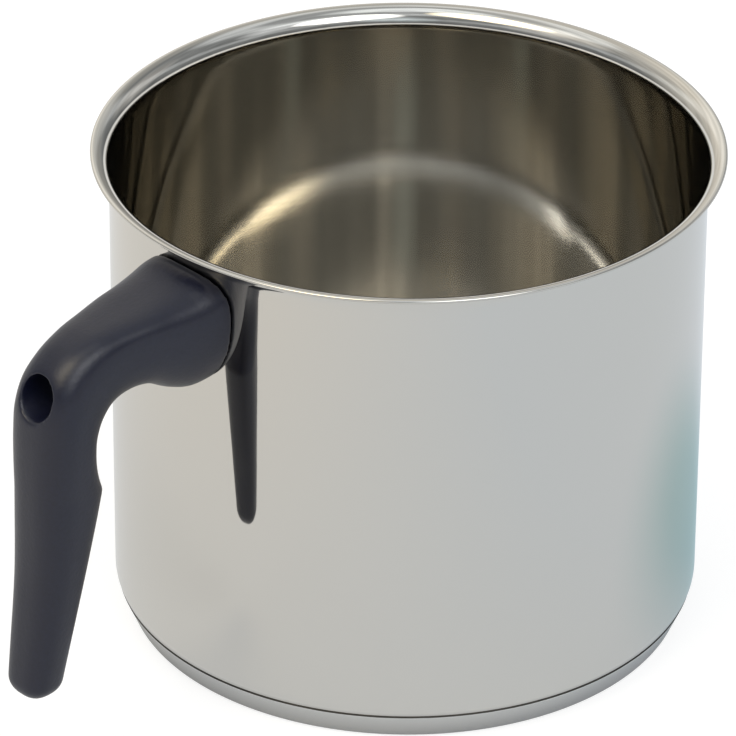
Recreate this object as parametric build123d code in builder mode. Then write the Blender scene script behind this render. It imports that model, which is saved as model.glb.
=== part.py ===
from build123d import *
from math import copysign, cos, pi, radians, sin, sqrt
import os

os.makedirs("parts", exist_ok=True)

# Vessel: one deep drawing of stainless sheet, standing on the origin with its axis upright
inner_radius = 70.0
wall = 0.8
pan_height = 122.0
corner_radius = 6.0
rim_radius = 4.7

# Sandwich base: aluminium core in a pressed steel cap
cap_wall = 0.6
cap_radius = 70.2
cap_foot_radius = 67.2
cap_height = 7.0
cap_corner = 1.2
core_thickness = 3.4

# Handle: reach from the wall out to the tip, height from the tip up to the top of the arm
handle_reach = 53.5
handle_height = 96.4
handle_half_width = 14.6
rim_to_handle = 3.75
tip_length = 4.8
tip_lean = 0.9
end_gap = 0.4
mouth_softening = 0.5

# Screw bore through the arm, from its mouth in the bend to the socket at the vessel
bore_radius = 5.0
shoulder_depth = 15.0
shank_clearance = 0.25

# Bracket: stamped steel cup welded to the wall, inside the arm's hollow end
bracket_inset = 3.0
bracket_draft = 2.6
bracket_depth = 5.5
bracket_sheet = 1.2
socket_clearance = 0.25

# Threaded bush in the bracket's face
bush_radius = 4.5
bush_neck_radius = 3.5
bush_length = 4.0
thread_clearance = 0.1

# Machine screw and its spring washer
screw_radius = 2.5
thread_engagement = 4.0
head_radius = 4.4
head_height = 3.4
head_softening = 0.8
recess_width = 1.1
recess_length = 5.4
recess_depth = 1.8
washer_radius = 4.5
washer_bore_radius = 2.7
washer_thickness = 1.3
washer_gap = 0.9

# One length by which every cut runs past what it cuts
overrun = 20.0

outer_radius = inner_radius + wall
base_top = cap_wall + core_thickness
corner_center = (outer_radius - corner_radius, base_top + corner_radius)
handle_top = pan_height - rim_to_handle
tip_height = handle_top - handle_height

# A station is a cross section of the handle. Its outer and inner edge are shares of the handle's reach
# and height, its half width is a share of the widest, its belly is where along its depth it is widest,
# and the two powers say how square its outer and its inner half are.
arm_station_shares = (
    ((-0.062, 0.984), (-0.121, 0.694), 0.965, 0.65, 3.0, 2.2),
    ((-0.006, 0.983), (-0.065, 0.690), 0.960, 0.65, 3.0, 2.2),
    ((0.051, 0.981), (-0.008, 0.686), 0.948, 0.65, 3.0, 2.2),
    ((0.146, 0.968), (0.089, 0.683), 0.897, 0.65, 3.1, 2.2),
    ((0.246, 0.957), (0.193, 0.705), 0.822, 0.61, 3.5, 2.3),
    ((0.369, 0.947), (0.321, 0.744), 0.735, 0.58, 4.0, 2.4),
    ((0.501, 0.939), (0.440, 0.750), 0.655, 0.55, 3.7, 2.4),
    ((0.631, 0.928), (0.539, 0.736), 0.634, 0.50, 3.1, 2.5),
    ((0.751, 0.900), (0.597, 0.701), 0.645, 0.50, 2.7, 2.6),
    ((0.845, 0.851), (0.624, 0.661), 0.672, 0.50, 2.6, 2.6),
    ((0.894, 0.785), (0.627, 0.630), 0.684, 0.50, 2.6, 2.6),
    ((0.913, 0.710), (0.620, 0.599), 0.672, 0.50, 2.6, 2.6),
    ((0.923, 0.633), (0.603, 0.566), 0.652, 0.50, 2.6, 2.6),
    ((0.928, 0.556), (0.578, 0.531), 0.631, 0.50, 2.6, 2.6),
)
# The grip starts at the arm's last station, where the finger stop leaves a crest on the inner side
grip_station_shares = arm_station_shares[-1:] + (
    ((0.930, 0.478), (0.612, 0.462), 0.620, 0.50, 2.6, 2.6),
    ((0.934, 0.398), (0.648, 0.389), 0.596, 0.50, 2.6, 2.6),
    ((0.943, 0.319), (0.682, 0.317), 0.565, 0.50, 2.6, 2.6),
    ((0.958, 0.245), (0.716, 0.245), 0.533, 0.50, 2.6, 2.6),
    ((0.975, 0.172), (0.752, 0.172), 0.506, 0.50, 2.6, 2.6),
    ((0.994, 0.099), (0.785, 0.099), 0.471, 0.50, 2.6, 2.6),
    ((1.007, 0.050), (0.806, 0.050), 0.445, 0.50, 2.6, 2.6),
)
# Below the grip's last station the tip closes like a ball, here by its turns in degrees
tip_turns = (0, 24, 44, 60, 72, 81)
root_shares = (0.036, 0.854)
mouth_shares = (0.877, 0.806)
quarter_steps = 5


def handle_point(reach_share, height_share):
    """A point in the handle's middle plane, which reaches out along -X."""
    return Vector(-(outer_radius + reach_share * handle_reach), 0, tip_height + height_share * handle_height)


def oval_face(plane, half_width, rise, drop, outer_power, inner_power):
    """A superellipse about the plane's origin, with its own reach and squareness above and below."""
    headings = ((0, 1), (-1, 0), (0, -1), (1, 0), (0, 1))
    with BuildSketch(plane) as section:
        with BuildLine():
            for quarter in range(4):
                reach, power = (rise, outer_power) if quarter < 2 else (drop, inner_power)
                points = []
                for step in range(quarter_steps + 1):
                    turn = pi / 2 * (quarter + step / quarter_steps)
                    across, up = round(cos(turn), 9), round(sin(turn), 9)
                    points.append((half_width * copysign(abs(across) ** (2 / power), across),
                                   reach * copysign(abs(up) ** (2 / power), up)))
                Spline(*points, tangents=headings[quarter:quarter + 2])
        make_face()
    return section.sketch.face()


def station_face(outer_share, inner_share, width_share, belly_share, outer_power, inner_power):
    """One station of the handle, on the plane through its outer and inner edge."""
    outer = handle_point(*outer_share)
    inner = handle_point(*inner_share)
    along = outer - inner
    belly = inner + along * belly_share
    plane = Plane(origin=belly, x_dir=(0, -1, 0), z_dir=Vector(0, -1, 0).cross(along))
    return oval_face(plane, width_share * handle_half_width, along.length * (1 - belly_share),
                     along.length * belly_share, outer_power, inner_power)


def tip_face(turn):
    """The grip's last section, shrunk and lowered by a turn away from a ball's middle."""
    outer_share, inner_share, width_share, belly_share, *powers = grip_station_shares[-1]
    outer = handle_point(*outer_share)
    inner = handle_point(*inner_share)
    center = (outer + inner) / 2 + Vector(-tip_lean, 0, -tip_length) * sin(radians(turn))
    size = cos(radians(turn))
    half_depth = (outer - inner).length / 2 * size
    return oval_face(Plane(origin=center, x_dir=(0, -1, 0), z_dir=(0, 0, -1)),
                     width_share * handle_half_width * size, half_depth, half_depth, *powers)


# Axis of the screw, from the arm's root at the vessel to the mouth of the bore in the bend
root = handle_point(*root_shares)
mouth = handle_point(*mouth_shares)
arm_axis = (mouth - root).normalized()
root_plane = Plane(origin=root, x_dir=(0, -1, 0), z_dir=arm_axis)
shoulder = (mouth - root).length - shoulder_depth

# Outline of the arm's end, which the bracket repeats inside it
end_outer_share, end_inner_share, end_width_share, end_belly_share, *end_powers = arm_station_shares[2]
end_inner = handle_point(*end_inner_share)
end_depth = (handle_point(*end_outer_share) - end_inner).length
end_belly = end_inner + (handle_point(*end_outer_share) - end_inner) * end_belly_share
belly_height = root_plane.to_local_coords(end_belly).Y


def cup_face(height, inset):
    """The arm's end outline on a plane across the screw, smaller by inset all round."""
    plane = root_plane.offset(height)
    plane.origin = plane.from_local_coords(Vector(0, belly_height, 0))
    return oval_face(plane, end_width_share * handle_half_width - inset,
                     end_depth * (1 - end_belly_share) - inset, end_depth * end_belly_share - inset, *end_powers)


def cup_faces(grow, front):
    """The bracket's sections, larger by grow: straight beside the wall, then drawn in to its face."""
    inset = bracket_inset - grow
    return [cup_face(-bracket_depth, inset), cup_face(0, inset), cup_face(front, inset + bracket_draft)]


def cap_profile(inset, top):
    """Half section of the solid cap about the vessel's axis, smaller by inset, its side a steep cone."""
    slope = (cap_radius - cap_foot_radius) / cap_height
    edge_radius = cap_foot_radius - inset * sqrt(1 + slope ** 2)
    foot = (edge_radius + slope * inset, inset)
    with BuildSketch(Plane.XZ) as profile:
        with BuildLine():
            Polyline((0, inset), foot, (edge_radius + slope * top, top), (0, top), close=True)
        make_face()
        fillet(profile.vertices().group_by(Axis.Y)[0].sort_by(Axis.X)[-1], cap_corner - inset)
    return profile.sketch


def vessel_envelope():
    """Half section of everything inside the vessel's outer surface."""
    with BuildSketch(Plane.XZ) as profile:
        with BuildLine():
            Line((0, base_top), (corner_center[0], base_top))
            CenterArc(corner_center, corner_radius, -90, 90)
            Line((outer_radius, corner_center[1]), (outer_radius, pan_height))
            Line((outer_radius, pan_height), (0, pan_height))
            Line((0, pan_height), (0, base_top))
        make_face()
    return profile.sketch


# Vessel: half section of the sheet, up the outside, over the rolled rim and down the inside
rim_center = (inner_radius + rim_radius, pan_height - rim_radius)
lip_radius = wall / 2
with BuildPart() as pan_body:
    with BuildSketch(Plane.XZ):
        with BuildLine():
            Line((0, base_top), (corner_center[0], base_top))
            CenterArc(corner_center, corner_radius, -90, 90)
            Line((outer_radius, corner_center[1]), (outer_radius, rim_center[1]))
            CenterArc(rim_center, rim_radius - wall, 180, -90)
            CenterArc((rim_center[0], pan_height - lip_radius), lip_radius, -90, 180)
            CenterArc(rim_center, rim_radius, 90, 90)
            Line((inner_radius, rim_center[1]), (inner_radius, corner_center[1]))
            CenterArc(corner_center, corner_radius - wall, 0, -90)
            Line((corner_center[0], base_top + wall), (0, base_top + wall))
            Line((0, base_top + wall), (0, base_top))
        make_face()
    revolve(axis=Axis.Z)
pan_body.part.label = "pan_body"
export_step(pan_body.part, "parts/pan_body.step")

# Base core: fills the cap up to the vessel's bottom and round its corner
with BuildPart() as base_core:
    revolve(cap_profile(cap_wall, cap_height), axis=Axis.Z)
    revolve(vessel_envelope(), axis=Axis.Z, mode=Mode.SUBTRACT)
base_core.part.label = "base_core"
export_step(base_core.part, "parts/base_core.step")

# Base cap: its upper edge closes on the vessel's corner, where the seam shows
with BuildPart() as base_cap:
    revolve(cap_profile(0, cap_height), axis=Axis.Z)
    revolve(cap_profile(cap_wall, cap_height + overrun), axis=Axis.Z, mode=Mode.SUBTRACT)
    revolve(vessel_envelope(), axis=Axis.Z, mode=Mode.SUBTRACT)
base_cap.part.label = "base_cap"
export_step(base_cap.part, "parts/base_cap.step")

# Handle: arm and bend, grip with its round tip, end coped just clear of the wall, bore and socket
with BuildPart() as handle:
    loft([station_face(*station) for station in arm_station_shares])
    loft([station_face(*station) for station in grip_station_shares])
    loft([tip_face(turn) for turn in tip_turns])
    with BuildSketch(Plane.XY.offset(handle_top - end_depth - overrun)):
        Circle(outer_radius + end_gap)
    extrude(amount=end_depth + 2 * overrun, mode=Mode.SUBTRACT)
    with BuildSketch(root_plane.offset(shoulder)):
        Circle(bore_radius)
    extrude(amount=shoulder_depth + overrun, mode=Mode.SUBTRACT)
    fillet(handle.edges().sort_by_distance(mouth)[:2], mouth_softening)
    with BuildSketch(root_plane):
        Circle(screw_radius + shank_clearance)
    extrude(amount=shoulder, mode=Mode.SUBTRACT)
    loft(cup_faces(socket_clearance, bracket_depth + socket_clearance), ruled=True, mode=Mode.SUBTRACT)
handle.part.label = "handle"
export_step(handle.part, "parts/handle.step")

# Bracket: cup open towards the vessel, its edge coped to the wall that it is welded to
with BuildPart() as handle_bracket:
    loft(cup_faces(0, bracket_depth), ruled=True)
    loft(cup_faces(-bracket_sheet, bracket_depth - bracket_sheet), ruled=True, mode=Mode.SUBTRACT)
    with BuildSketch(root_plane):
        Circle(bush_neck_radius)
    extrude(amount=bracket_depth + overrun, mode=Mode.SUBTRACT)
    with BuildSketch(Plane.XY.offset(handle_top - end_depth - overrun)):
        Circle(outer_radius)
    extrude(amount=end_depth + 2 * overrun, mode=Mode.SUBTRACT)
handle_bracket.part.label = "handle_bracket"
export_step(handle_bracket.part, "parts/handle_bracket.step")

# Threaded bush: pressed in from behind the bracket's face
with BuildPart() as bracket_bush:
    with BuildSketch(root_plane.offset(bracket_depth - bracket_sheet)):
        Circle(bush_radius)
    extrude(amount=-bush_length)
    with BuildSketch(root_plane.offset(bracket_depth - bracket_sheet)):
        Circle(bush_neck_radius)
    extrude(amount=bracket_sheet)
    with BuildSketch(root_plane.offset(bracket_depth)):
        Circle(screw_radius + thread_clearance)
    extrude(amount=-(bracket_depth + bush_length), mode=Mode.SUBTRACT)
bracket_bush.part.label = "bracket_bush"
export_step(bracket_bush.part, "parts/bracket_bush.step")

# Spring washer: split ring on the shoulder of the bore
with BuildPart() as spring_washer:
    with BuildSketch(root_plane.offset(shoulder)):
        Circle(washer_radius)
        Circle(washer_bore_radius, mode=Mode.SUBTRACT)
        with Locations((washer_radius, 0)):
            Rectangle(2 * washer_radius, washer_gap, mode=Mode.SUBTRACT)
    extrude(amount=washer_thickness)
spring_washer.part.label = "spring_washer"
export_step(spring_washer.part, "parts/spring_washer.step")

# Screw: pan head with a cross recess, shank through the arm into the bush
head_plane = root_plane.offset(shoulder + washer_thickness)
shank_length = shoulder + washer_thickness - bracket_depth + thread_engagement
with BuildPart() as handle_screw:
    with BuildSketch(head_plane):
        Circle(head_radius)
    extrude(amount=head_height)
    fillet(handle_screw.edges().filter_by(GeomType.CIRCLE).sort_by(Axis.X)[0], head_softening)
    with BuildSketch(head_plane):
        Circle(screw_radius)
    extrude(amount=-shank_length)
    with BuildSketch(head_plane.offset(head_height - recess_depth)):
        Rectangle(recess_length, recess_width)
        Rectangle(recess_width, recess_length)
    extrude(amount=recess_depth, mode=Mode.SUBTRACT)
handle_screw.part.label = "handle_screw"
export_step(handle_screw.part, "parts/handle_screw.step")
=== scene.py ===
from math import copysign, cos, pi, radians, sin

import bmesh
import bpy
from mathutils import Matrix, Vector


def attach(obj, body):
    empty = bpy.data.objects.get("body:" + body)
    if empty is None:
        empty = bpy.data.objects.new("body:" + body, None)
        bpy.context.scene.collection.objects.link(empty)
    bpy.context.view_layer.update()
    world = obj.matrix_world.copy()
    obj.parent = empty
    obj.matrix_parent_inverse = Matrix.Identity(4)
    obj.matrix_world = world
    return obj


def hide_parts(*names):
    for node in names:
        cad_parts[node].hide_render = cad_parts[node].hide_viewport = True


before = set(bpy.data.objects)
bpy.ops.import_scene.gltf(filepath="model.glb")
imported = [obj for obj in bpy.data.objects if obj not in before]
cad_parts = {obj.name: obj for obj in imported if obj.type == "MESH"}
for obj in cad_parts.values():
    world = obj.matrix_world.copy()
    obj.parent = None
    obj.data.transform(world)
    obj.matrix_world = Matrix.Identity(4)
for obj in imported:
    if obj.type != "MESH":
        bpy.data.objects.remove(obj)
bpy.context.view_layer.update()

# The vessel
# One deep drawing of 18/10 stainless sheet: a flat floor, a small round corner, a straight wall and a rim
# rolled outwards into a pouring lip. The outside is buffed to a mirror, and the inside keeps its brushed rings.
mm = 0.001
inner_radius, sheet, pan_height = 70.0 * mm, 0.8 * mm, 122.0 * mm
wall_radius = inner_radius + sheet
floor_underside, corner_radius, rim_radius = 4.0 * mm, 6.0 * mm, 4.7 * mm


def linear(code):
    """An sRGB hex colour as linear red, green, blue and alpha."""
    shares = [int(code[place:place + 2], 16) / 255 for place in (1, 3, 5)]
    return [s / 12.92 if s <= 0.04045 else ((s + 0.055) / 1.055) ** 2.4 for s in shares] + [1.0]


def add(tree, kind, inputs=None, **settings):
    """Adds a node to a tree with its settings, and sets or links its inputs."""
    node = tree.nodes.new(kind)
    for name, value in settings.items():
        setattr(node, name, value)
    for key, value in (inputs or {}).items():
        if isinstance(value, bpy.types.NodeSocket):
            tree.links.new(value, node.inputs[key])
        else:
            node.inputs[key].default_value = value
    return node


def new_material(name):
    """An empty node material and its tree."""
    material = bpy.data.materials.new(name)
    material.use_nodes = True
    material.node_tree.nodes.clear()
    return material, material.node_tree


# Mirror-buffed stainless steel: smooth, with the faint swell that a drawn wall keeps under its polish
buffed_steel, tree = new_material("buffed_stainless_steel")
place = add(tree, "ShaderNodeTexCoord").outputs["Object"]
swell = add(tree, "ShaderNodeTexNoise", {"Vector": place, "Scale": 1 / (26 * mm), "Detail": 1.0})
bump = add(tree, "ShaderNodeBump", {"Height": swell.outputs["Fac"], "Strength": 0.05, "Distance": 0.4 * mm})
haze = add(tree, "ShaderNodeTexNoise", {"Vector": place, "Scale": 1 / (9 * mm), "Detail": 3.0})
haze = add(tree, "ShaderNodeMapRange", {"Value": haze.outputs["Fac"], "To Min": 0.022, "To Max": 0.045})
skin = add(tree, "ShaderNodeBsdfPrincipled", {
    "Base Color": linear("#d3d0ca"), "Metallic": 1.0, "Roughness": haze.outputs[0],
    "Normal": bump.outputs[0]})
add(tree, "ShaderNodeOutputMaterial", {"Surface": skin.outputs[0]})

# Ring-brushed stainless steel: the brush ran round the vessel, so lights stretch along the wall's height
brushed_steel, tree = new_material("ring_brushed_stainless_steel")
place = add(tree, "ShaderNodeTexCoord").outputs["Object"]
split = add(tree, "ShaderNodeSeparateXYZ", {0: place})
flat_place = add(tree, "ShaderNodeCombineXYZ", {0: split.outputs[0], 1: split.outputs[1]})
reach = add(tree, "ShaderNodeVectorMath", {0: flat_place.outputs[0]}, operation="LENGTH")
along = add(tree, "ShaderNodeMath", {0: reach.outputs["Value"], 1: split.outputs[2]}, operation="ADD")
rings = add(tree, "ShaderNodeMath", {0: along.outputs[0], 1: 40.0}, operation="MULTIPLY")
brushed_place = add(tree, "ShaderNodeCombineXYZ", {
    0: split.outputs[0], 1: split.outputs[1], 2: rings.outputs[0]})
# Real brush lines are about 0.05 mm apart; these are 0.8 mm, so that they show
lines = add(tree, "ShaderNodeTexNoise", {
    "Vector": brushed_place.outputs[0], "Scale": 1 / (32 * mm), "Detail": 4.0})
bump = add(tree, "ShaderNodeBump", {"Height": lines.outputs["Fac"], "Strength": 0.05, "Distance": 0.05 * mm})
satin = add(tree, "ShaderNodeMapRange", {"Value": lines.outputs["Fac"], "To Min": 0.05, "To Max": 0.09})
around = add(tree, "ShaderNodeTangent", direction_type="RADIAL", axis="Z")
skin = add(tree, "ShaderNodeBsdfPrincipled", {
    "Base Color": linear("#cdcac3"), "Metallic": 1.0, "Roughness": satin.outputs[0],
    "Normal": bump.outputs[0], "Anisotropic": 0.7, "Anisotropic Rotation": 0.25, "Tangent": around.outputs[0]})
add(tree, "ShaderNodeOutputMaterial", {"Surface": skin.outputs[0]})


def spin(tree, known, radius, outside, inside):
    """Sweeps a profile's outer and inner curves round the Z axis, and ends the tree with their materials."""
    circle = add(tree, "GeometryNodeCurvePrimitiveCircle", {
        "Resolution": known["Steps round"], "Radius": known[radius]})
    both = add(tree, "GeometryNodeJoinGeometry")
    for curves, hidden in ((outside, False), (inside, True)):
        joined = add(tree, "GeometryNodeJoinGeometry")
        for curve in curves:
            tree.links.new(curve, joined.inputs[0])
        wall = add(tree, "GeometryNodeCurveToMesh", {
            "Curve": circle.outputs[0], "Profile Curve": joined.outputs[0]})
        marked = add(tree, "GeometryNodeStoreNamedAttribute", {
            "Geometry": wall.outputs[0], "Name": "inside", "Value": hidden},
            data_type="BOOLEAN", domain="FACE")
        tree.links.new(marked.outputs[0], both.inputs[0])
    closed = add(tree, "GeometryNodeMergeByDistance", {"Geometry": both.outputs[0], "Distance": 0.01 * mm})
    smooth = add(tree, "GeometryNodeSetShadeSmooth", {0: closed.outputs[0]})
    real = add(tree, "GeometryNodeRealizeInstances", {0: smooth.outputs[0]})
    outer = add(tree, "GeometryNodeSetMaterial", {"Geometry": real.outputs[0], "Material": known["Outside"]})
    mark = add(tree, "GeometryNodeInputNamedAttribute", {"Name": "inside"}, data_type="BOOLEAN")
    inner = add(tree, "GeometryNodeSetMaterial", {
        "Geometry": outer.outputs[0], "Selection": mark.outputs[0], "Material": known["Inside"]})
    add(tree, "NodeGroupOutput", {0: inner.outputs[0]})


def sized_tree(name, sizes, materials):
    """A geometry tree with named inputs for its sizes and materials, and those inputs' sockets by name."""
    tree = bpy.data.node_groups.new(name, "GeometryNodeTree")
    tree.interface.new_socket("Geometry", in_out="OUTPUT", socket_type="NodeSocketGeometry")
    for title in sizes:
        kind = "NodeSocketInt" if title.startswith("Steps") else "NodeSocketFloat"
        tree.interface.new_socket(title, in_out="INPUT", socket_type=kind)
    for title in materials:
        tree.interface.new_socket(title, in_out="INPUT", socket_type="NodeSocketMaterial")
    return tree, {socket.name: socket for socket in add(tree, "NodeGroupInput").outputs}


def made_by(tree, name, values):
    """A plain mesh object made by a geometry tree with these input values."""
    piece = bpy.data.objects.new(name, bpy.data.meshes.new(name))
    bpy.context.scene.collection.objects.link(piece)
    modifier = piece.modifiers.new("made", "NODES")
    modifier.node_group = tree
    for item in tree.interface.items_tree:
        if item.in_out == "INPUT":
            modifier[item.identifier] = values[item.name]
    bpy.context.view_layer.update()
    mesh = bpy.data.meshes.new_from_object(piece.evaluated_get(bpy.context.evaluated_depsgraph_get()))
    piece.modifiers.clear()
    piece.data = mesh
    mesh.name = name
    return piece


def face_out(piece):
    """Turns every face of a closed mesh outwards."""
    shell = bmesh.new()
    shell.from_mesh(piece.data)
    bmesh.ops.recalc_face_normals(shell, faces=shell.faces)
    if shell.calc_volume(signed=True) < 0:
        bmesh.ops.reverse_faces(shell, faces=shell.faces)
    shell.to_mesh(piece.data)
    shell.free()


def lengths(tree, known, formulas):
    """Adds to the known lengths of a profile those that follow from them."""
    for title, operation, *terms in formulas:
        values = {place: known.get(term, term) for place, term in enumerate(terms)}
        known[title] = add(tree, "ShaderNodeMath", values, operation=operation).outputs[0]


def straight_run(tree, known, start, end, points):
    """A straight run of a profile from one place to another."""
    ends = [add(tree, "ShaderNodeCombineXYZ", {0: known[x], 1: known[y]}).outputs[0] for x, y in (start, end)]
    line = add(tree, "GeometryNodeCurvePrimitiveLine", {"Start": ends[0], "End": ends[1]})
    return add(tree, "GeometryNodeResampleCurve", {"Curve": line.outputs[0], "Count": points}).outputs[0]


def round_run(tree, known, radius, center, start, sweep, points):
    """A round run of a profile about its centre."""
    arc = add(tree, "GeometryNodeCurveArc", {
        "Resolution": points, "Radius": known[radius], "Start Angle": radians(start), "Sweep Angle": sweep})
    place = add(tree, "ShaderNodeCombineXYZ", {0: known[center[0]], 1: known[center[1]]})
    moved = add(tree, "GeometryNodeTransform", {"Geometry": arc.outputs[0], "Translation": place.outputs[0]})
    return moved.outputs[0]


vessel_sizes = {
    "Wall radius": wall_radius, "Sheet": sheet, "Floor underside": floor_underside,
    "Corner radius": corner_radius, "Rim radius": rim_radius, "Height": pan_height, "Steps round": 320}
vessel_materials = {"Outside": buffed_steel, "Inside": brushed_steel}
tree, known = sized_tree("drawn_vessel", vessel_sizes, vessel_materials)
# The profile is measured outwards and down from the wall's outer face, which is how the sweep reads it
known["wall x"] = 0.0
lengths(tree, known, (
    ("axis x", "MULTIPLY", "Wall radius", -1.0),
    ("inner wall x", "MULTIPLY", "Sheet", -1.0),
    ("corner x", "MULTIPLY", "Corner radius", -1.0),
    ("underside y", "MULTIPLY", "Floor underside", -1.0),
    ("corner y", "SUBTRACT", "underside y", "Corner radius"),
    ("floor y", "SUBTRACT", "underside y", "Sheet"),
    ("inner corner radius", "SUBTRACT", "Corner radius", "Sheet"),
    ("outer rim radius", "SUBTRACT", "Rim radius", "Sheet"),
    ("rim y", "SUBTRACT", "Rim radius", "Height"),
    ("lip radius", "MULTIPLY", "Sheet", 0.5),
    ("lip y", "SUBTRACT", "lip radius", "Height")))
rim_center = ("outer rim radius", "rim y")
outside = (
    straight_run(tree, known, ("axis x", "underside y"), ("corner x", "underside y"), 12),
    round_run(tree, known, "Corner radius", ("corner x", "corner y"), 90, radians(-90), 16),
    straight_run(tree, known, ("wall x", "corner y"), ("wall x", "rim y"), 48),
    round_run(tree, known, "outer rim radius", rim_center, 180, radians(90), 16))
inside = (
    round_run(tree, known, "lip radius", ("outer rim radius", "lip y"), 90, radians(-180), 12),
    round_run(tree, known, "Rim radius", rim_center, 270, radians(-90), 18),
    straight_run(tree, known, ("inner wall x", "rim y"), ("inner wall x", "corner y"), 48),
    round_run(tree, known, "inner corner radius", ("corner x", "corner y"), 0, radians(90), 16),
    straight_run(tree, known, ("corner x", "floor y"), ("axis x", "floor y"), 24))
spin(tree, known, "Wall radius", outside, inside)
vessel = made_by(tree, "drawn_vessel", {**vessel_sizes, **vessel_materials})
face_out(vessel)
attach(vessel, "root")
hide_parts("pan_body")

# The base cap
# A pressed cap of thinner stainless sheet, bonded hot under the vessel with the aluminium core inside it. Its
# side leans in towards the foot, and its edge leaves a dark seam line round the vessel's corner.
cap_sizes = {
    "Edge radius": 70.2 * mm, "Foot radius": 67.2 * mm, "Height": 7.0 * mm, "Sheet": 0.6 * mm,
    "Corner radius": 1.2 * mm, "Ledge": 0.2 * mm, "Chamfer": 0.7 * mm, "Steps round": 256}
seam_height = 0.3 * mm

# Turned stainless steel, duller than the wall, and darker and rougher in a narrow band along its top edge
turned_steel, tree = new_material("turned_stainless_steel")
place = add(tree, "ShaderNodeTexCoord").outputs["Object"]
split = add(tree, "ShaderNodeSeparateXYZ", {0: place})
speck = add(tree, "ShaderNodeTexNoise", {"Vector": place, "Scale": 1 / (3 * mm), "Detail": 2.0})
ragged = add(tree, "ShaderNodeMath", {0: speck.outputs["Fac"], 1: 0.12 * mm}, operation="MULTIPLY")
level = add(tree, "ShaderNodeMath", {0: split.outputs[2], 1: ragged.outputs[0]}, operation="ADD")
seam = add(tree, "ShaderNodeMapRange", {
    "Value": level.outputs[0], "From Min": cap_sizes["Height"] - seam_height,
    "From Max": cap_sizes["Height"] - 0.6 * seam_height})
grey = add(tree, "ShaderNodeMix", {
    "Factor": seam.outputs[0], 6: linear("#dbdad7"), 7: linear("#5a5854")}, data_type="RGBA")
dull = add(tree, "ShaderNodeMapRange", {"Value": seam.outputs[0], "To Min": 0.13, "To Max": 0.5})
skin = add(tree, "ShaderNodeBsdfPrincipled", {
    "Base Color": grey.outputs[2], "Metallic": 1.0, "Roughness": dull.outputs[0]})
add(tree, "ShaderNodeOutputMaterial", {"Surface": skin.outputs[0]})

cap_materials = {"Outside": turned_steel, "Inside": turned_steel}
tree, known = sized_tree("pressed_cap", cap_sizes, cap_materials)
known.update({"foot y": 0.0, "edge x": 0.0})
lengths(tree, known, (
    ("axis x", "MULTIPLY", "Edge radius", -1.0),
    ("foot x", "SUBTRACT", "Foot radius", "Edge radius"),
    ("lean out", "SUBTRACT", "Edge radius", "Foot radius"),
    ("lean", "ARCTAN2", "lean out", "Height"),
    ("sweep", "SUBTRACT", "lean", pi / 2),
    ("half turn", "MULTIPLY", "sweep", -0.5),
    ("half tangent", "TANGENT", "half turn"),
    ("set back", "MULTIPLY", "half tangent", "Corner radius"),
    ("corner x", "SUBTRACT", "foot x", "set back"),
    ("corner y", "MULTIPLY", "Corner radius", -1.0),
    ("lean cosine", "COSINE", "lean"),
    ("lean sine", "SINE", "lean"),
    ("side out", "MULTIPLY", "Corner radius", "lean cosine"),
    ("side up", "MULTIPLY", "Corner radius", "lean sine"),
    ("side x", "ADD", "corner x", "side out"),
    ("side y", "ADD", "corner y", "side up"),
    ("top y", "MULTIPLY", "Height", -1.0),
    ("ledge x", "MULTIPLY", "Ledge", -1.0),
    ("inner x", "MULTIPLY", "Sheet", -1.0),
    ("chamfer y", "ADD", "top y", "Chamfer"),
    ("inner foot x", "SUBTRACT", "foot x", "Sheet"),
    ("inner y", "MULTIPLY", "Sheet", -1.0)))
outside = (
    straight_run(tree, known, ("axis x", "foot y"), ("corner x", "foot y"), 24),
    round_run(tree, known, "Corner radius", ("corner x", "corner y"), 90, known["sweep"], 12),
    straight_run(tree, known, ("side x", "side y"), ("edge x", "top y"), 12),
    straight_run(tree, known, ("edge x", "top y"), ("ledge x", "top y"), 2))
inside = (
    straight_run(tree, known, ("ledge x", "top y"), ("inner x", "chamfer y"), 2),
    straight_run(tree, known, ("inner x", "chamfer y"), ("inner foot x", "inner y"), 2),
    straight_run(tree, known, ("inner foot x", "inner y"), ("axis x", "inner y"), 2))
spin(tree, known, "Edge radius", outside, inside)
cap = made_by(tree, "pressed_cap", {**cap_sizes, **cap_materials})
face_out(cap)
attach(cap, "root")
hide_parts("base_cap")

# The base core
# The disc of pure aluminium that spreads the heat. It is punched from rolled sheet and bonded in between the
# vessel and its cap, which shut it in.

# Rolled aluminium: pale and matt, with the mill's lines along it
rolled_aluminium, tree = new_material("rolled_aluminium")
place = add(tree, "ShaderNodeTexCoord").outputs["Object"]
grain = add(tree, "ShaderNodeMapping", {
    "Vector": place, "Scale": (1 / (12 * mm), 1 / (0.8 * mm), 1 / (0.8 * mm))})
marks = add(tree, "ShaderNodeTexNoise", {"Vector": grain.outputs[0], "Scale": 1.0, "Detail": 3.0})
matt = add(tree, "ShaderNodeMapRange", {"Value": marks.outputs["Fac"], "To Min": 0.35, "To Max": 0.5})
bump = add(tree, "ShaderNodeBump", {"Height": marks.outputs["Fac"], "Strength": 0.2, "Distance": 0.05 * mm})
skin = add(tree, "ShaderNodeBsdfPrincipled", {
    "Base Color": linear("#dcdddf"), "Metallic": 1.0, "Roughness": matt.outputs[0],
    "Normal": bump.outputs[0]})
add(tree, "ShaderNodeOutputMaterial", {"Surface": skin.outputs[0]})
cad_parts["base_core"].data.materials.clear()
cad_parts["base_core"].data.materials.append(rolled_aluminium)

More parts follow.
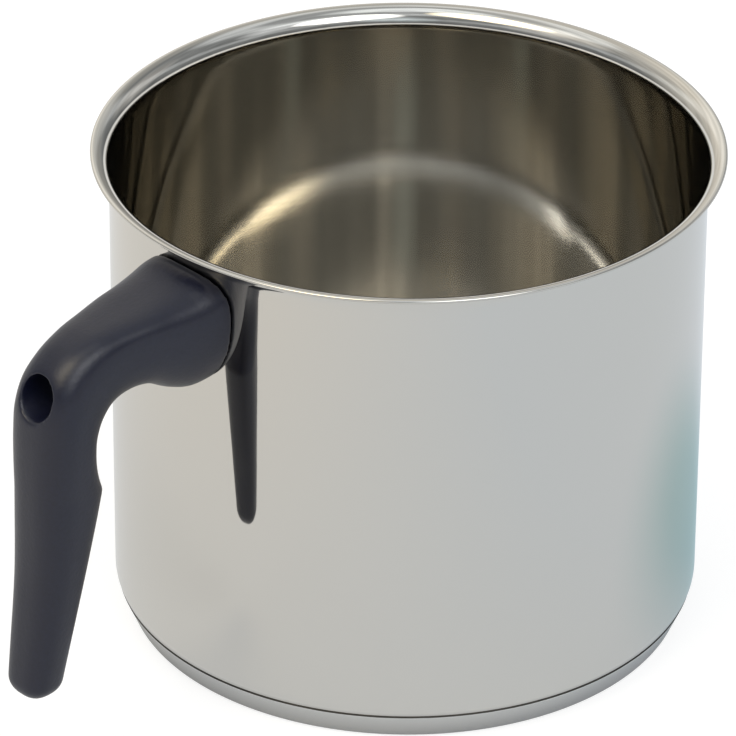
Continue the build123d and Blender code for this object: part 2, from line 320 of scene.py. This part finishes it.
# The handle
# One compression moulding of black phenolic: an arm hollow at the vessel, a bend with the screw's bore in its
# outer side, and a grip that hangs clear of the wall and closes in a round tip. It slides over the bracket.
handle_reach, handle_height, half_width = 53.5 * mm, 96.4 * mm, 14.6 * mm
top_gap = 3.75 * mm
tip_height = pan_height - top_gap - handle_height
tip_length, tip_lean = 4.8 * mm, 0.9 * mm
end_gap = 0.4 * mm
ring_gap, remesh_size = 0.7 * mm, 0.42 * mm
root_shares, mouth_shares = (0.036, 0.854), (0.877, 0.806)
bore_overrun, shank_overrun = 20 * mm, 1 * mm
soft_depth, soft_inside, soft_outside = 4 * mm, 0.5 * mm, 1.6 * mm
bore_radius, shoulder_depth, shank_hole_radius = 5.0 * mm, 15.0 * mm, 2.75 * mm
socket_inset, socket_draft, socket_depth, bracket_depth = 2.75 * mm, 2.6 * mm, 5.75 * mm, 5.5 * mm
# A station is a cross section: its outer and inner edge as shares of the reach and height, its half width as
# a share of the widest, where along its depth it is widest, and how square its outer and inner half are
arm_stations = (
    (-0.062, 0.984, -0.121, 0.694, 0.965, 0.65, 3.0, 2.2),
    (-0.006, 0.983, -0.065, 0.690, 0.960, 0.65, 3.0, 2.2),
    (0.051, 0.981, -0.008, 0.686, 0.948, 0.65, 3.0, 2.2),
    (0.146, 0.968, 0.089, 0.683, 0.897, 0.65, 3.1, 2.2),
    (0.246, 0.957, 0.193, 0.705, 0.822, 0.61, 3.5, 2.3),
    (0.369, 0.947, 0.321, 0.744, 0.735, 0.58, 4.0, 2.4),
    (0.501, 0.939, 0.440, 0.750, 0.655, 0.55, 3.7, 2.4),
    (0.631, 0.928, 0.539, 0.736, 0.634, 0.50, 3.1, 2.5),
    (0.751, 0.900, 0.597, 0.701, 0.645, 0.50, 2.7, 2.6),
    (0.845, 0.851, 0.624, 0.661, 0.672, 0.50, 2.6, 2.6),
    (0.894, 0.785, 0.627, 0.630, 0.684, 0.50, 2.6, 2.6),
    (0.913, 0.710, 0.620, 0.599, 0.672, 0.50, 2.6, 2.6),
    (0.923, 0.633, 0.603, 0.566, 0.652, 0.50, 2.6, 2.6),
    (0.928, 0.556, 0.578, 0.531, 0.631, 0.50, 2.6, 2.6))
# The grip starts at the arm's last station, where the finger stop leaves a crest on the inner side
grip_stations = arm_stations[-1:] + (
    (0.930, 0.478, 0.612, 0.462, 0.620, 0.50, 2.6, 2.6),
    (0.934, 0.398, 0.648, 0.389, 0.596, 0.50, 2.6, 2.6),
    (0.943, 0.319, 0.682, 0.317, 0.565, 0.50, 2.6, 2.6),
    (0.958, 0.245, 0.716, 0.245, 0.533, 0.50, 2.6, 2.6),
    (0.975, 0.172, 0.752, 0.172, 0.506, 0.50, 2.6, 2.6),
    (0.994, 0.099, 0.785, 0.099, 0.471, 0.50, 2.6, 2.6),
    (1.007, 0.050, 0.806, 0.050, 0.445, 0.50, 2.6, 2.6))

# Moulded phenolic: nearly black, satin, with the fine grain that its wood flour filler leaves
phenolic, tree = new_material("moulded_phenolic")
place = add(tree, "ShaderNodeTexCoord").outputs["Object"]
flour = add(tree, "ShaderNodeTexNoise", {"Vector": place, "Scale": 1 / (0.9 * mm), "Detail": 3.0})
cloud = add(tree, "ShaderNodeTexNoise", {"Vector": place, "Scale": 1 / (14 * mm), "Detail": 2.0})
satin = add(tree, "ShaderNodeMapRange", {"Value": cloud.outputs["Fac"], "To Min": 0.32, "To Max": 0.42})
bump = add(tree, "ShaderNodeBump", {"Height": flour.outputs["Fac"], "Strength": 0.5, "Distance": 0.1 * mm})
tint = add(tree, "ShaderNodeMix", {
    "Factor": flour.outputs["Fac"], 6: linear("#090b1b"), 7: linear("#14172d")}, data_type="RGBA")
skin = add(tree, "ShaderNodeBsdfPrincipled", {
    "Base Color": tint.outputs[2], "Roughness": satin.outputs[0], "IOR": 1.52, "Normal": bump.outputs[0]})
add(tree, "ShaderNodeOutputMaterial", {"Surface": skin.outputs[0]})


def handle_point(reach_share, height_share):
    """A place in the handle's middle plane, which reaches out along -X."""
    return Vector((-(wall_radius + reach_share * handle_reach), 0, tip_height + height_share * handle_height))


def smooth_rows(rows, step):
    """Rows of numbers about one step apart on a smooth curve through the given stations."""
    middles = [(handle_point(*row[:2]) + handle_point(*row[2:4])) / 2 for row in rows]
    gaps = [(after - before).length for before, after in zip(middles, middles[1:])]
    slopes = [[(b - a) / gap for a, b in zip(before, after)]
              for before, after, gap in zip(rows, rows[1:], gaps)]
    turns = [[(a * g2 + b * g1) / (g1 + g2) for a, b in zip(before, after)]
             for before, after, g1, g2 in zip(slopes, slopes[1:], gaps, gaps[1:])]
    first = [1.5 * a - 0.5 * b for a, b in zip(slopes[0], turns[0])]
    last = [1.5 * a - 0.5 * b for a, b in zip(slopes[-1], turns[-1])]
    turns = [first, *turns, last]
    smooth = []
    for place, gap in enumerate(gaps):
        count = max(1, round(gap / step))
        for part in range(count):
            t = part / count
            smooth.append([
                (2 * t ** 3 - 3 * t ** 2 + 1) * a + (t ** 3 - 2 * t ** 2 + t) * gap * u
                + (3 * t ** 2 - 2 * t ** 3) * b + (t ** 3 - t ** 2) * gap * v
                for a, b, u, v in zip(rows[place], rows[place + 1], turns[place], turns[place + 1])])
    return smooth + [list(rows[-1])]


def ring(center, up, across, half_width, rise, drop, outer_power, inner_power, count=96):
    """A superellipse about a centre, with its own reach and squareness above and below."""
    places = []
    for step in range(count):
        turn = 2 * pi * step / count
        reach, power = (rise, outer_power) if turn < pi else (drop, inner_power)
        x = half_width * copysign(abs(cos(turn)) ** (2 / power), cos(turn))
        y = reach * copysign(abs(sin(turn)) ** (2 / power), sin(turn))
        places.append(center + across * x + up * y)
    return places


def solid_of(rings, name):
    """A closed mesh object through rings of equal count, shut at both ends."""
    shell = bmesh.new()
    rows = [[shell.verts.new(place) for place in places] for places in rings]
    for before, after in zip(rows, rows[1:]):
        for step in range(len(before)):
            shell.faces.new((before[step - 1], before[step], after[step], after[step - 1]))
    for row in (rows[0], rows[-1]):
        shell.faces.new(row)
    bmesh.ops.recalc_face_normals(shell, faces=shell.faces)
    mesh = bpy.data.meshes.new(name)
    shell.to_mesh(mesh)
    shell.free()
    solid = bpy.data.objects.new(name, mesh)
    bpy.context.scene.collection.objects.link(solid)
    return solid


def rod(start, end, radius, count=96):
    """A round cutter between two places."""
    across = Vector((0, -1, 0))
    up = (end - start).cross(across).normalized()
    ends = [[place + radius * (cos(2 * pi * step / count) * across + sin(2 * pi * step / count) * up)
             for step in range(count)] for place in (start, end)]
    return solid_of(ends, "cutter")


sideways = Vector((0, -1, 0))
rings = []
for *edges, width_share, belly_share, outer_power, inner_power in (
        smooth_rows(arm_stations, ring_gap)[:-1] + smooth_rows(grip_stations, ring_gap)):
    outer, inner = handle_point(*edges[:2]), handle_point(*edges[2:])
    along = outer - inner
    rings.append(ring(inner + along * belly_share, along.normalized(), sideways, width_share * half_width,
                      along.length * (1 - belly_share), along.length * belly_share, outer_power, inner_power))
# Below the grip's last station the tip closes like a ball
for turn in range(8, 90, 8):
    size = cos(radians(turn))
    center = (outer + inner) / 2 + Vector((-tip_lean, 0, -tip_length)) * sin(radians(turn))
    rings.append(ring(center, Vector((-1, 0, 0)), sideways, width_share * half_width * size,
                      along.length / 2 * size, along.length / 2 * size, outer_power, inner_power))
handle = solid_of(rings, "moulded_handle")

# The end is coped just clear of the wall, and the screw's bore, its hole and the socket are cut
root, mouth = handle_point(*root_shares), handle_point(*mouth_shares)
arm_axis = (mouth - root).normalized()
shoulder = root + arm_axis * ((mouth - root).length - shoulder_depth)
*end_edges, end_width, end_belly, end_outer_power, end_inner_power = arm_stations[2]
end_outer, end_inner = handle_point(*end_edges[:2]), handle_point(*end_edges[2:])
end_depth = (end_outer - end_inner).length
belly = end_inner + (end_outer - end_inner) * end_belly
cope_foot = Vector((0, 0, belly.z - end_depth))
cutters = [rod(cope_foot, cope_foot + Vector((0, 0, 2 * end_depth)), wall_radius + end_gap, 720),
           rod(shoulder, mouth + bore_overrun * arm_axis, bore_radius),
           rod(root, shoulder + shank_overrun * arm_axis, shank_hole_radius)]
arm_up = arm_axis.cross(sideways)


def cup_ring(height, inset):
    """The arm's end outline on a plane across the screw, smaller by inset all round."""
    center = root + arm_axis * height + arm_up * (belly - root).dot(arm_up)
    return ring(center, arm_up, sideways, end_width * half_width - inset,
                end_depth * (1 - end_belly) - inset, end_depth * end_belly - inset,
                end_outer_power, end_inner_power)


cutters.append(solid_of([cup_ring(-bracket_depth, socket_inset), cup_ring(0, socket_inset),
                         cup_ring(socket_depth, socket_inset + socket_draft)], "cutter"))
for cutter in cutters:
    cut = handle.modifiers.new("cut", "BOOLEAN")
    cut.object, cut.operation, cut.solver = cutter, "DIFFERENCE", "EXACT"
# The mould leaves every edge a little round: a fine remesh and a light smoothing do the same
even = handle.modifiers.new("even", "REMESH")
even.mode, even.voxel_size = "VOXEL", remesh_size
soft = handle.modifiers.new("soft", "SMOOTH")
soft.factor, soft.iterations = 0.5, 4
bpy.context.view_layer.update()
mesh = bpy.data.meshes.new_from_object(handle.evaluated_get(bpy.context.evaluated_depsgraph_get()))
handle.modifiers.clear()
handle.data = mesh
# Round the bore's mouth the edge is softer still
lip = handle.vertex_groups.new(name="mouth")
for vertex in mesh.vertices:
    from_mouth = vertex.co - mouth
    along = from_mouth.dot(arm_axis)
    from_edge = (from_mouth - arm_axis * along).length - bore_radius
    if along > -soft_depth and -soft_inside < from_edge < soft_outside:
        lip.add([vertex.index], 1.0, "REPLACE")
round_off = handle.modifiers.new("round off", "SMOOTH")
round_off.factor, round_off.iterations, round_off.vertex_group = 0.5, 16, "mouth"
bpy.context.view_layer.update()
mesh = bpy.data.meshes.new_from_object(handle.evaluated_get(bpy.context.evaluated_depsgraph_get()))
handle.modifiers.clear()
handle.vertex_groups.clear()
handle.data = mesh
mesh.name = "moulded_handle"
mesh.shade_smooth()
mesh.materials.append(phenolic)
for cutter in cutters:
    bpy.data.objects.remove(cutter)
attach(handle, "root")
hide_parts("handle")

# The handle's bracket
# A cup stamped from stainless sheet and spot welded to the wall, open towards it. The arm's hollow end slides
# over it and hides all but its edge.

# Stamped stainless steel: satin, a little uneven from the die
stamped_steel, tree = new_material("stamped_stainless_steel")
place = add(tree, "ShaderNodeTexCoord").outputs["Object"]
draw = add(tree, "ShaderNodeTexNoise", {"Vector": place, "Scale": 1 / (2.5 * mm), "Detail": 3.0})
satin = add(tree, "ShaderNodeMapRange", {"Value": draw.outputs["Fac"], "To Min": 0.24, "To Max": 0.36})
bump = add(tree, "ShaderNodeBump", {"Height": draw.outputs["Fac"], "Strength": 0.2, "Distance": 0.1 * mm})
skin = add(tree, "ShaderNodeBsdfPrincipled", {
    "Base Color": linear("#bdbbb2"), "Metallic": 1.0, "Roughness": satin.outputs[0],
    "Normal": bump.outputs[0]})
add(tree, "ShaderNodeOutputMaterial", {"Surface": skin.outputs[0]})
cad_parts["handle_bracket"].data.materials.clear()
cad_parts["handle_bracket"].data.materials.append(stamped_steel)

# The bracket's bush
# A turned steel bush, pressed into the bracket's face and threaded for the screw. The handle's arm closes
# over it.

# Zinc-plated steel: bright grey, with faint patches where the plating took unevenly
zinc_plated_steel, tree = new_material("zinc_plated_steel")
place = add(tree, "ShaderNodeTexCoord").outputs["Object"]
patch = add(tree, "ShaderNodeTexNoise", {"Vector": place, "Scale": 1 / (1.5 * mm), "Detail": 3.0})
tint = add(tree, "ShaderNodeMix", {
    "Factor": patch.outputs["Fac"], 6: linear("#b9bbbd"), 7: linear("#cfcfc9")}, data_type="RGBA")
skin = add(tree, "ShaderNodeBsdfPrincipled", {
    "Base Color": tint.outputs[2], "Metallic": 1.0, "Roughness": 0.32})
add(tree, "ShaderNodeOutputMaterial", {"Surface": skin.outputs[0]})
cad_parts["bracket_bush"].data.materials.clear()
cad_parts["bracket_bush"].data.materials.append(zinc_plated_steel)

# The screw and its spring washer
# A long pan-head machine screw with a cross recess, and under its head a split spring washer that keeps the
# phenolic clamped. The screw is bright plated steel, the washer darker spring steel, both a little worn.
for node, colour, rough in (("handle_screw", "#c4c4be", 0.28), ("spring_washer", "#7d7c78", 0.4)):
    plated, tree = new_material(node + "_steel")
    place = add(tree, "ShaderNodeTexCoord").outputs["Object"]
    wear = add(tree, "ShaderNodeTexNoise", {"Vector": place, "Scale": 1 / (1.2 * mm), "Detail": 4.0})
    satin = add(tree, "ShaderNodeMapRange", {
        "Value": wear.outputs["Fac"], "To Min": rough - 0.06, "To Max": rough + 0.06})
    skin = add(tree, "ShaderNodeBsdfPrincipled", {
        "Base Color": linear(colour), "Metallic": 1.0, "Roughness": satin.outputs[0]})
    add(tree, "ShaderNodeOutputMaterial", {"Surface": skin.outputs[0]})
    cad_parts[node].data.materials.clear()
    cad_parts[node].data.materials.append(plated)

# The floor
# A plain pale table top, lifted so that it stays white behind the pan and keeps only the shadow close to it.
# The steel shows the same top with painted light on it: warm on the left, cool on the right, a painted shadow
# of the pan to the right, and a painted contact shadow dark at the pan's foot.
floor_radius, floor_gap = 6.0, 0.02 * mm
picture_right = (0.72, -0.69, 0)
# Where the pan's painted shadow lies on the table to the right: its middle, its full core and its faded edge
shade_middle, shade_core, shade_edge = (95 * mm, -50 * mm, 0), 15 * mm, 88 * mm
# Where the painted contact shadow round the pan's foot starts and where it has faded out
foot_shade_start, foot_shade_end = 66.5 * mm, 74 * mm
table_top, tree = new_material("pale_table_top")
place = add(tree, "ShaderNodeTexCoord").outputs["Object"]
right = add(tree, "ShaderNodeVectorMath", {0: place, 1: picture_right}, operation="DOT_PRODUCT")
right = add(tree, "ShaderNodeMapRange", {"Value": right.outputs["Value"], "From Min": -0.2, "From Max": 0.12})
shade = add(tree, "ShaderNodeVectorMath", {0: place, 1: shade_middle}, operation="DISTANCE")
shade = add(tree, "ShaderNodeMapRange", {
    "Value": shade.outputs["Value"], "From Min": shade_edge, "From Max": shade_core},
    interpolation_type="SMOOTHSTEP")
reach = add(tree, "ShaderNodeVectorMath", {0: place}, operation="LENGTH")
painted_foot_shadow = add(tree, "ShaderNodeMapRange", {
    "Value": reach.outputs["Value"], "From Min": foot_shade_start, "From Max": foot_shade_end,
    "To Min": 0.22})
# Painted light on the table: warmer on the left of the picture, cooler towards the right
tint = add(tree, "ShaderNodeMix", {
    "Factor": right.outputs[0], 6: linear("#d7d5d2"), 7: linear("#c3cdd9")}, data_type="RGBA")
# The pan's painted shadow on the table to the right, cool and dark
tint = add(tree, "ShaderNodeMix", {
    "Factor": shade.outputs[0], 6: tint.outputs[2], 7: linear("#84afb9")}, data_type="RGBA")
# Painted contact shadow round the pan's foot, darkest right at the foot
tint = add(tree, "ShaderNodeMix", {
    "Factor": 1.0, 6: tint.outputs[2], 7: painted_foot_shadow.outputs[0]}, data_type="RGBA", blend_type="MULTIPLY")
rays = add(tree, "ShaderNodeLightPath")
shown = add(tree, "ShaderNodeMath", {0: rays.outputs["Is Camera Ray"], 1: rays.outputs["Is Glossy Ray"]})
shown = add(tree, "ShaderNodeMath", {
    0: shown.outputs[0], 1: rays.outputs["Is Transmission Ray"]}, use_clamp=True)
tint = add(tree, "ShaderNodeMix", {
    "Factor": rays.outputs["Is Camera Ray"], 6: tint.outputs[2], 7: linear("#ffffff")}, data_type="RGBA")
shaded = add(tree, "ShaderNodeBsdfDiffuse", {"Color": linear("#989898")})
lift = add(tree, "ShaderNodeEmission", {"Color": tint.outputs[2], "Strength": 0.77})
lifted = add(tree, "ShaderNodeAddShader", {0: shaded.outputs[0], 1: lift.outputs[0]})
pale = add(tree, "ShaderNodeBsdfDiffuse", {"Color": linear("#d8d8d6")})
glow = add(tree, "ShaderNodeEmission", {"Color": linear("#d8d8d6"), "Strength": 0.22})
pale = add(tree, "ShaderNodeAddShader", {0: pale.outputs[0], 1: glow.outputs[0]})
seen = add(tree, "ShaderNodeMixShader", {0: shown.outputs[0], 1: pale.outputs[0], 2: lifted.outputs[0]})
add(tree, "ShaderNodeOutputMaterial", {"Surface": seen.outputs[0]})
disc = bmesh.new()
bmesh.ops.create_circle(
    disc, cap_ends=True, segments=128, radius=floor_radius, matrix=Matrix.Translation((0, 0, -floor_gap)))
mesh = bpy.data.meshes.new("floor")
disc.to_mesh(mesh)
disc.free()
floor = bpy.data.objects.new("floor", mesh)
bpy.context.scene.collection.objects.link(floor)
mesh.materials.append(table_top)

# The studio
# A plain room with a large window low on the left, a few soft lamps round it, a pale panel overhead and a
# white backdrop low down, all round. The steel shows them and the dark gaps between them.
room_strength = 4.0
backdrop_full, backdrop_gone = 7, 9
world = bpy.data.worlds.new("studio")
bpy.context.scene.world = world
world.use_nodes = True
tree = world.node_tree
tree.nodes.clear()
toward = add(tree, "ShaderNodeTexCoord").outputs["Generated"]
split = add(tree, "ShaderNodeSeparateXYZ", {0: toward})
level = add(tree, "ShaderNodeMath", {0: split.outputs[2]}, operation="ARCSINE")
level = add(tree, "ShaderNodeMapRange", {"Value": level.outputs[0], "From Max": pi / 2})
bands = add(tree, "ShaderNodeValToRGB", {"Fac": level.outputs[0]})
stops = bands.color_ramp.elements
stops.remove(stops[1])
# Each band's elevation and brightness, a little cooler than white
for angle, shine in ((0, 0.045), (12, 0.05), (22, 0.07), (26, 0.13), (32, 0.13), (36, 0.07), (50, 0.08),
                     (55, 0.2), (62, 0.2), (66, 0.12), (74, 0.12), (80, 0.34)):
    stop = stops.new(angle / 90) if angle else stops[0]
    stop.color = (0.95 * shine, shine, 1.05 * shine, 1)
light = bands.outputs[0]
# Each lamp's azimuth and elevation, the angle that it fills, the angle where it has faded out, and its colour
for turn, height, full, faded, colour in (
        (75, 28, 14, 52, "#5b5852"), (66, 30, 6, 24, "#4c4842"), (160, 56, 8, 26, "#7c7974"),
        (180, 60, 9, 18, "#fff0cc"), (254, 47, 9, 18, "#ffffff"), (286, 48, 6, 16, "#6c6e71"),
        (172, 29, 4, 16, "#3e3c3a"), (230, 29, 4, 16, "#50585c"), (355, 29, 4, 18, "#4e4c4a")):
    turn, height = radians(turn), radians(height)
    direction = (cos(turn) * cos(height), sin(turn) * cos(height), sin(height))
    lamp = add(tree, "ShaderNodeVectorMath", {0: toward, 1: direction}, operation="DOT_PRODUCT")
    lamp = add(tree, "ShaderNodeMapRange", {
        "Value": lamp.outputs["Value"], "From Min": cos(radians(faded)), "From Max": cos(radians(full))})
    lamp = add(tree, "ShaderNodeMix", {
        "Factor": lamp.outputs[0], 6: (0, 0, 0, 1), 7: linear(colour)}, data_type="RGBA")
    light = add(tree, "ShaderNodeMix", {
        "Factor": 1.0, 6: light, 7: lamp.outputs[2]}, data_type="RGBA", blend_type="ADD").outputs[2]
# Window bars, curtains and the lamps' own edges leave finer stripes in it
stretched = add(tree, "ShaderNodeVectorMath", {0: toward, 1: (7, 7, 1.2)}, operation="MULTIPLY")
stripes = add(tree, "ShaderNodeTexNoise", {"Vector": stretched.outputs[0], "Scale": 1.0, "Detail": 2.0})
stripes = add(tree, "ShaderNodeMapRange", {
    "Value": stripes.outputs["Fac"], "From Min": 0.3, "From Max": 0.7, "To Min": 0.8, "To Max": 1.2})
light = add(tree, "ShaderNodeMix", {
    "Factor": 1.0, 6: light, 7: stripes.outputs[0]}, data_type="RGBA", blend_type="MULTIPLY").outputs[2]
# The backdrop's heights are in degrees above the table; at the room's strength it comes out plain white
backdrop = add(tree, "ShaderNodeMapRange", {
    "Value": level.outputs[0], "From Min": backdrop_gone / 90, "From Max": backdrop_full / 90})
backdrop_white = (1 / room_strength, 1 / room_strength, 1 / room_strength, 1)
light = add(tree, "ShaderNodeMix", {
    "Factor": backdrop.outputs[0], 6: light, 7: backdrop_white}, data_type="RGBA").outputs[2]
room = add(tree, "ShaderNodeBackground", {"Color": light, "Strength": room_strength})
add(tree, "ShaderNodeOutputWorld", {"Surface": room.outputs[0]})

# The camera
# A long lens, about 1.5 m away and 30 degrees above the table.
camera = bpy.data.objects.new("camera", bpy.data.cameras.new("camera"))
bpy.context.scene.collection.objects.link(camera)
camera.location = (-0.894205, -0.912564, 0.799952)
camera.rotation_euler = (radians(59.965105), radians(-0.297614), radians(-43.827932))
camera.data.sensor_width, camera.data.lens = 36.0, 300.147
bpy.context.scene.camera = camera

scene = bpy.context.scene
scene.view_settings.view_transform = "Standard"
# Light reaches the vessel's floor only after several turns between its mirror walls
scene.cycles.max_bounces, scene.cycles.glossy_bounces = 16, 16
